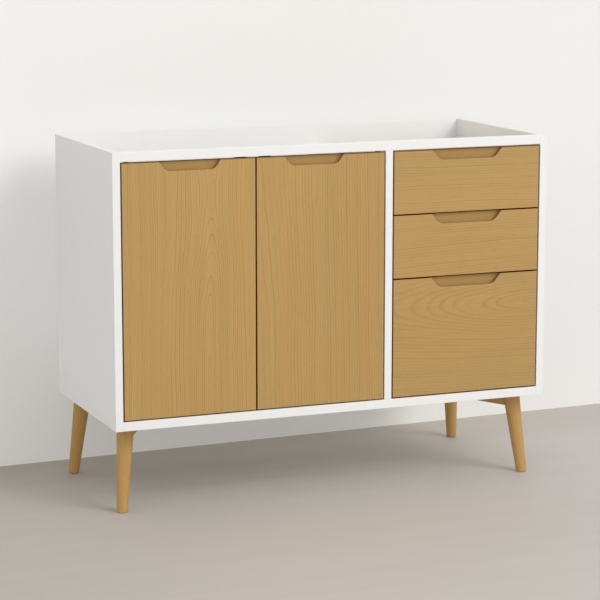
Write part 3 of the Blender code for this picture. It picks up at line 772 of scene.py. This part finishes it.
legWood = makeWood("turnedLegWood", legPlace, legFigure, legTones)
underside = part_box("left_side_panel")[0][2]
for count, (end, side, outX, outY) in enumerate(corners):
    node = "leg_" + end + "_" + side
    points, faces = legShape(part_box(node)[1][2])
    headX, headY = legHead(end, outX, outY)
    # each leg is turned from another part of the plank
    firstTurn, nextTurn = legs["grainTurn"]
    turn = firstTurn + nextTurn * count
    around = points[:, 0] * math.cos(turn) + points[:, 1] * math.sin(turn)
    inward = points[:, 1] * math.cos(turn) - points[:, 0] * math.sin(turn)
    grainPlace = np.stack([points[:, 2] + legs["grainApart"] * count, inward, around], axis=-1)
    # the lean moves each height sideways by its share of the splay
    share = 1.0 - points[:, 2] / underside
    points = points + np.stack([headX + outX * legs["leanSide"] * share,
                                headY + outY * legs["leanDepth"] * share, 0.0 * share], axis=-1)
    leg = makePiece("turnedLeg_" + end + "_" + side, (points, faces), legWood, "carcass",
                    (node,))
    attribute = leg.data.attributes.new("grainPlace", "FLOAT_VECTOR", "POINT")
    attribute.data.foreach_set("vector", grainPlace.astype(np.float32).ravel())

    bar = "leg_bar_" + end + "_" + side
    heading = math.atan2(-outY * math.cos(bars["angle"]), -outX * math.sin(bars["angle"]))
    centre = middle(bar)
    figure = dict(barFigure, Seed=bars["firstSeed"] + count)
    dress(bar, makeWood(bar + "_wood", lambda tree: turnedPlace(tree, (0.0, 0.0, -heading), centre), figure,
                        legTones))
print("legs turned")


# fixings: screws in slides, catches, strikes and leg bars
panHead = crossHead(radius=0.0036, height=0.0020, arm=0.0024, slot=0.00055, sink=0.0012)
flatHead = crossHead(radius=0.0044, height=0.0003, arm=0.0030, slot=0.0006, sink=0.0002)
slideScrews = {"fromEnds": 0.035, "outer": 3, "inner": 2, "steel": 0.0015}


def slideScrewPlaces(drawer, kind, side):
    # the heads sit on the web, in the room between the two channels
    low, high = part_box(drawer + "_" + kind + "_slide_" + side)
    webAtLow = (side == "left") == (kind == "outer")
    x = low[0] + slideScrews["steel"] if webAtLow else high[0] - slideScrews["steel"]
    out = (1.0 if webAtLow else -1.0, 0.0, 0.0)
    inset = slideScrews["fromEnds"]
    return [stand(panHead, (x, y, (low[2] + high[2]) / 2), out)
            for y in np.linspace(low[1] + inset, high[1] - inset, slideScrews[kind])]


for drawer in drawers:
    for kind, body in (("outer", "carcass"), ("inner", drawer)):
        makeScrews(drawer + "_" + kind + "_screws",
                   slideScrewPlaces(drawer, kind, "left") + slideScrewPlaces(drawer, kind, "right"), body)

shapes = []
for end, side, outX, outY in corners:
    headX, headY = legHead(end, outX, outY)
    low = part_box("leg_bar_" + end + "_" + side)[0]
    for run in bars["screws"]:
        where = (headX - outX * run * math.sin(bars["angle"]), headY - outY * run * math.cos(bars["angle"]),
                 low[2])
        shapes.append(stand(flatHead, where, (0.0, 0.0, -1.0)))
makeScrews("barScrews", shapes, "carcass")

# a magnetic catch: a moulded housing, a dark magnet between two steel cheeks, and two screws behind
catch = {"corner": 0.0022, "front": 0.0006, "softness": 0.0008, "magnetWidth": 0.020,
         "magnetHeight": 0.0075, "magnetCorner": 0.0006, "magnetSet": 0.0003, "cheek": 0.0013,
         "cheekCorner": 0.0003, "cheekSteps": 4, "reach": 0.004, "screwsApart": 0.018, "screwsUp": 0.007}
strike = {"corner": 0.0030, "softness": 0.0004, "screwSink": 0.0001}


def makeCatch(door, x, z):
    # x and z are the middle of the magnet's face
    low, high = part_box(door + "_catch")
    front = low[1]
    outline = roundedOutline((low[0], low[2]), (high[0], high[2]), catch["corner"])
    housing = makePiece(door + "_catch_housing", carry(outline, 1, front + catch["front"], high[1]),
                        catchPlastic, "carcass", (door + "_catch",), outward=True)
    roundEdges(housing, acrossDepth, catch["softness"])
    halfWidth = catch["magnetWidth"] / 2
    halfHeight = catch["magnetHeight"] / 2
    outline = roundedOutline((x - halfWidth, z - halfHeight), (x + halfWidth, z + halfHeight),
                             catch["magnetCorner"])
    makePiece(door + "_catch_magnet", carry(outline, 1, front + catch["magnetSet"], front + catch["reach"]),
              darkPlastic, "carcass", outward=True)
    cheeks = []
    for foot in (z - halfHeight - catch["cheek"], z + halfHeight):
        outline = roundedOutline((x - halfWidth, foot), (x + halfWidth, foot + catch["cheek"]),
                                 catch["cheekCorner"], catch["cheekSteps"])
        cheeks.append(carry(outline, 1, front, front + catch["reach"]))
    makePiece(door + "_catch_cheeks", gather(cheeks), pinSteel, "carcass", outward=True)
    height = railLow + catch["screwsUp"]
    screws = [stand(panHead, (x + way * catch["screwsApart"] / 2, high[1], height), (0.0, 1.0, 0.0))
              for way in (-1.0, 1.0)]
    makeScrews(door + "_catch_screws", screws, "carcass")


def makeStrike(door, x, z):
    low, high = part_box(door + "_strike")
    outline = roundedOutline((low[0], low[2]), (high[0], high[2]), strike["corner"])
    plate = makePiece(door + "_strike_plate", carry(outline, 1, low[1], high[1]), pinSteel, door,
                      (door + "_strike",), outward=True)
    roundEdges(plate, acrossDepth, strike["softness"])
    where = (x, high[1] - strike["screwSink"], z)
    makeScrews(door + "_strike_screw", [stand(flatHead, where, (0.0, 1.0, 0.0))], door)


for door in ("left_door", "right_door"):
    x = middle(door + "_catch")[0]
    z = middle(door + "_strike")[2]
    makeCatch(door, x, z)
    makeStrike(door, x, z)
print("fixings set")


# rows of spare shelf-pin holes: white rings, each round a dark disc that is painted shade standing for the
# bore
holes = {"pitch": 0.032, "above": 5, "below": 4, "rim": 0.0036, "bore": 0.0025, "proud": 0.00035,
         "ease": 0.0001, "steps": 24}
roundSteps = 5
t = np.linspace(0.0, quarter, roundSteps)
proud, bore, ease = holes["proud"], holes["bore"], holes["ease"]
rim = np.stack([holes["rim"] - proud + proud * np.cos(t), proud * np.sin(t)], axis=-1)
throat = [(bore + 2.0 * ease, proud), (bore, proud - ease), (bore, ease), (0.0, ease)]
ring = revolve(np.concatenate([[(0.0, 0.0)], rim, throat]), holes["steps"])
# painted shade: a thin dark disc on each ring's closed floor stands for the bore's depth
boreTop = 1.5 * ease
boreShade = revolve([(0.0, ease), (bore - ease, ease), (bore - 2.0 * ease, boreTop), (0.0, boreTop)],
                  holes["steps"])
rings = []
shadeDots = []
for end in ("front", "back"):
    for side, wall, out in (("left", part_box("left_side_panel")[1][0], (1.0, 0.0, 0.0)),
                            ("right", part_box("centre_divider")[0][0], (-1.0, 0.0, 0.0))):
        pin = middle("shelf_pin_" + end + "_" + side)
        for step in range(-holes["below"], holes["above"] + 1):
            # the shelf's own pin fills the hole at step 0
            if step != 0:
                where = (wall, pin[1], pin[2] + step * holes["pitch"])
                rings.append(stand(ring, where, out))
                shadeDots.append(stand(boreShade, where, out))
makePiece("pinHoleRings", gather(rings), shelfLacquer, "carcass")
makePiece("pinHoleShade", gather(shadeDots), holeShade, "carcass")

# nails along the foot, the sides and the divider's line of the back board, under one coat of lacquer
nails = {"radius": 0.0032, "steps": 20, "fromSide": 0.005, "fromFoot": 0.011, "fromTop": 0.020,
         "underTop": 0.090, "along": 12, "up": 8, "upDivider": 7}
t = np.linspace(0.0, quarter, roundSteps)
dome = np.stack([nails["radius"] * np.cos(t), boards["nailRoom"] * np.sin(t)], axis=-1)
nail = revolve(np.concatenate([[(0.0, 0.0)], dome]), nails["steps"])
leftRow = backLow[0] + nails["fromSide"]
rightRow = backHigh[0] - nails["fromSide"]
footRow = backLow[2] + nails["fromFoot"]
places = [(x, footRow) for x in np.linspace(leftRow, rightRow, nails["along"])]
for z in np.linspace(footRow, backHigh[2] - nails["fromTop"], nails["up"])[1:]:
    places += [(leftRow, z), (rightRow, z)]
dividerRow = middle("centre_divider")[0]
places += [(dividerRow, z)
           for z in np.linspace(footRow, backHigh[2] - nails["underTop"], nails["upDivider"])[1:]]
makePiece("backNails", gather([stand(nail, (x, backFace, z), (0.0, 1.0, 0.0)) for x, z in places]),
          paintedLightBackLacquer, "carcass")
print("pin holes and nails added")


# floor and wall. Above its lowest part the wall shows only to the camera and in reflections, so it takes
# no light from the cabinet's back; its faint glow stands for the light of a whole room in its shadow
room = {"size": 9.0, "height": 5.0, "wallPoints": ((-0.682, 0.360), (1.113, 0.439))}
(ax, ay), (bx, by) = room["wallPoints"]
wallSlope = (by - ay) / (bx - ax)
wallStart = ay - wallSlope * ax

# painted light and shade on the floor: each tone holds from one place to the next, across the room or
# towards the wall
floorLook = {"colour": (0.522, 0.484, 0.446, 1.0), "streak": (1.2, 16.0, 1.0), "streakDetail": 4.0,
             "streakShade": 0.12, "roughness": 0.6, "specular": 0.25, "sideSlope": 0.40,
             "left": (0.895, 0.895, 0.895, 1.0), "mid": (1.050, 1.055, 1.045, 1.0),
             "right": (1.042, 1.060, 1.105, 1.0), "leftToMid": (-0.9, 0.2), "midToRight": (0.1, 0.9),
             "front": (1.032, 1.035, 1.035, 1.0), "back": (0.955, 0.932, 0.890, 1.0),
             "frontToBack": (0.05, 0.32)}
# painted shadow on the floor behind the wall's foot, beside the cabinet
paintedShadowLook = {"colour": (0.712, 0.700, 0.686, 1.0), "left": (-1.05, -0.35), "right": (0.72, 0.20), "fade": 0.9}
# the wall's across and tone give painted light and shade: a little lighter towards the left, darker towards
# the right
wallLook = {"colour": (0.800, 0.798, 0.784, 1.0), "cloud": (1.3, 2.0), "cloudShade": 0.02,
            "roughness": 0.9, "specular": 0.1, "across": (-0.6, 1.0), "tone": (0.02, -0.045),
            "low": 0.30, "lowGlow": 0.145, "glow": 0.118}


def makeStage(name, corners, material):
    mesh = bpy.data.meshes.new(name)
    mesh.from_pydata(corners, [], [(0, 1, 2, 3)])
    mesh.materials.append(material)
    sheet = bpy.data.objects.new(name, mesh)
    scene.collection.objects.link(sheet)


def frontOnly(tree):
    # 1 on the side that faces the cabinet
    behind = addNode(tree, "ShaderNodeNewGeometry").outputs["Backfacing"]
    return calc(tree, "SUBTRACT", 1.0, behind)


def showWhere(tree, shown):
    # clear where shown is 0
    clear = addNode(tree, "ShaderNodeBsdfTransparent").outputs[0]
    paint = tree.nodes["Principled BSDF"].outputs[0]
    mixed = addNode(tree, "ShaderNodeMixShader", {0: shown, 1: clear, 2: paint}).outputs[0]
    tree.links.new(mixed, tree.nodes["Material Output"].inputs["Surface"])


def makeFloorPaint():
    material, tree, shader = newFinish("paleFloor")
    place = objectPlace(tree)
    axes = axesOf(tree, place)
    streak = longSpeckle(tree, place, floorLook["streak"], floorLook["streakDetail"])
    shade = vary(tree, 1.0, streak, floorLook["streakShade"])
    # the cabinet's shadow is deeper before the low wall than behind it; behind the wall a painted shadow
    # starts as dim and fades to plain, so hardly a line shows along the wall's foot from the back
    beyond = calc(tree, "SUBTRACT", plus(tree, axes[1], axes[0], -wallSlope), wallStart)
    paintedShadow = calc(tree, "MULTIPLY", spread(tree, axes[0], *paintedShadowLook["left"]),
               spread(tree, axes[0], *paintedShadowLook["right"]))
    paintedShadow = calc(tree, "MULTIPLY", paintedShadow, spread(tree, beyond, paintedShadowLook["fade"], 0.0))
    paintedShadow = calc(tree, "MULTIPLY", paintedShadow, calc(tree, "GREATER_THAN", beyond, 0.0))
    # painted light and shade: the floor is darker towards the left, lighter and cooler towards the right,
    # lighter in front, and darker and warmer close to the wall
    sideways = plus(tree, axes[0], axes[1], -floorLook["sideSlope"])
    tone = mixColours(tree, spread(tree, sideways, *floorLook["leftToMid"]), floorLook["left"],
                      floorLook["mid"])
    tone = mixColours(tree, spread(tree, sideways, *floorLook["midToRight"]), tone, floorLook["right"])
    depthLightAndShade = mixColours(tree, spread(tree, axes[1], *floorLook["frontToBack"]), floorLook["front"],
                           floorLook["back"])
    tone = mixColours(tree, 1.0, tone, depthLightAndShade, "MULTIPLY")
    colour = shadeColour(tree, floorLook["colour"], shade)
    colour = mixColours(tree, paintedShadow, colour, paintedShadowLook["colour"], "MULTIPLY")
    feed(tree, shader["Base Color"], mixColours(tree, 1.0, colour, tone, "MULTIPLY"))
    shader["Roughness"].default_value = floorLook["roughness"]
    shader["Specular IOR Level"].default_value = floorLook["specular"]
    showWhere(tree, frontOnly(tree))
    return material


def makeWallPaint():
    material, tree, shader = newFinish("paleWall")
    place = objectPlace(tree)
    axes = axesOf(tree, place)
    cloud = speckle(tree, place, *wallLook["cloud"])
    shade = vary(tree, 1.0, cloud, wallLook["cloudShade"])
    # painted light and shade: the wall is a little lighter towards the left and darker towards the right
    shade = calc(tree, "ADD", shade, spread(tree, axes[0], *wallLook["across"], *wallLook["tone"]))
    glow = spread(tree, axes[2], 0.0, wallLook["low"], wallLook["lowGlow"], wallLook["glow"])
    feed(tree, shader["Base Color"], shadeColour(tree, wallLook["colour"], shade))
    shader["Roughness"].default_value = wallLook["roughness"]
    shader["Specular IOR Level"].default_value = wallLook["specular"]
    feed(tree, shader["Emission Color"], shadeColour(tree, wallLook["colour"], glow))
    shader["Emission Strength"].default_value = 1.0
    light = addNode(tree, "ShaderNodeLightPath").outputs
    seen = calc(tree, "LESS_THAN", axes[2], wallLook["low"])
    for ray in ("Is Camera Ray", "Is Glossy Ray", "Is Transmission Ray"):
        seen = calc(tree, "MAXIMUM", seen, light[ray])
    showWhere(tree, calc(tree, "MULTIPLY", seen, frontOnly(tree)))
    return material


size = room["size"]
leftFoot = (-size, wallStart - wallSlope * size)
rightFoot = (size, wallStart + wallSlope * size)
makeStage("floor", [(-size, -size, 0.0), (size, -size, 0.0), (size, size, 0.0), (-size, size, 0.0)],
          makeFloorPaint())
makeStage("wall", [(*leftFoot, 0.0), (*rightFoot, 0.0), (*rightFoot, room["height"]),
                   (*leftFoot, room["height"])], makeWallPaint())
print("floor and wall laid")


# plain studio light: an even sky, a large soft lamp high on the right in front, and a weak one on the left
studio = {"sky": (1.0, 0.995, 0.985, 1.0), "skyStrength": 0.75, "shown": (0.88, 0.87, 0.845, 1.0),
          "key": {"place": (5.6, -8.8, 7.4), "aim": (0.0, 0.0, 0.45), "size": 6.2, "power": 625.0},
          "fill": {"place": (-5.0, -7.0, 3.5), "aim": (0.0, 0.0, 0.45), "size": 5.0, "power": 58.0}}


def addLamp(name, look):
    lamp = bpy.data.lights.new(name, "AREA")
    lamp.shape = "SQUARE"
    lamp.size = look["size"]
    lamp.energy = look["power"]
    holder = bpy.data.objects.new(name, lamp)
    holder.location = look["place"]
    aim = np.array(look["aim"]) - np.array(look["place"])
    flat = math.hypot(aim[0], aim[1])
    holder.rotation_euler = (math.atan2(flat, -aim[2]), 0.0, math.atan2(-aim[0], aim[1]))
    scene.collection.objects.link(holder)


def makeSky():
    # the camera sees the shown colour, and all else is lit by the sky
    world = bpy.data.worlds.new("studioSky")
    world.use_nodes = True
    tree = world.node_tree
    background = tree.nodes["Background"].inputs
    seen = addNode(tree, "ShaderNodeLightPath").outputs["Is Camera Ray"]
    feed(tree, background["Color"], mixColours(tree, seen, studio["sky"], studio["shown"]))
    strength = studio["skyStrength"]
    feed(tree, background["Strength"], plus(tree, strength, seen, 1.0 - strength))
    scene.world = world


addLamp("keyLamp", studio["key"])
addLamp("fillLamp", studio["fill"])
makeSky()

# the photograph's viewpoint: turned and tilted about a point in the middle of the cabinet
view = {"turn": math.radians(21.90), "tilt": math.radians(9.91), "distance": 5.669,
        "aim": (-0.0016, 0.0, 0.4508), "pixelsPerTangent": 2246.0, "pixels": 600.0, "sensor": 36.0,
        "far": 60.0}


def placeCamera():
    camera = bpy.data.cameras.new("viewpoint")
    camera.sensor_width = view["sensor"]
    camera.lens = view["pixelsPerTangent"] * view["sensor"] / view["pixels"]
    camera.clip_end = view["far"]
    holder = bpy.data.objects.new("viewpoint", camera)
    turn, tilt = view["turn"], view["tilt"]
    forward = np.array([math.sin(turn) * math.cos(tilt), math.cos(turn) * math.cos(tilt), -math.sin(tilt)])
    holder.location = np.array(view["aim"]) - view["distance"] * forward
    holder.rotation_euler = (math.pi / 2 - tilt, 0.0, -turn)
    scene.collection.objects.link(holder)
    scene.camera = holder


placeCamera()
scene.view_settings.view_transform = "Standard"
print("light and camera placed")
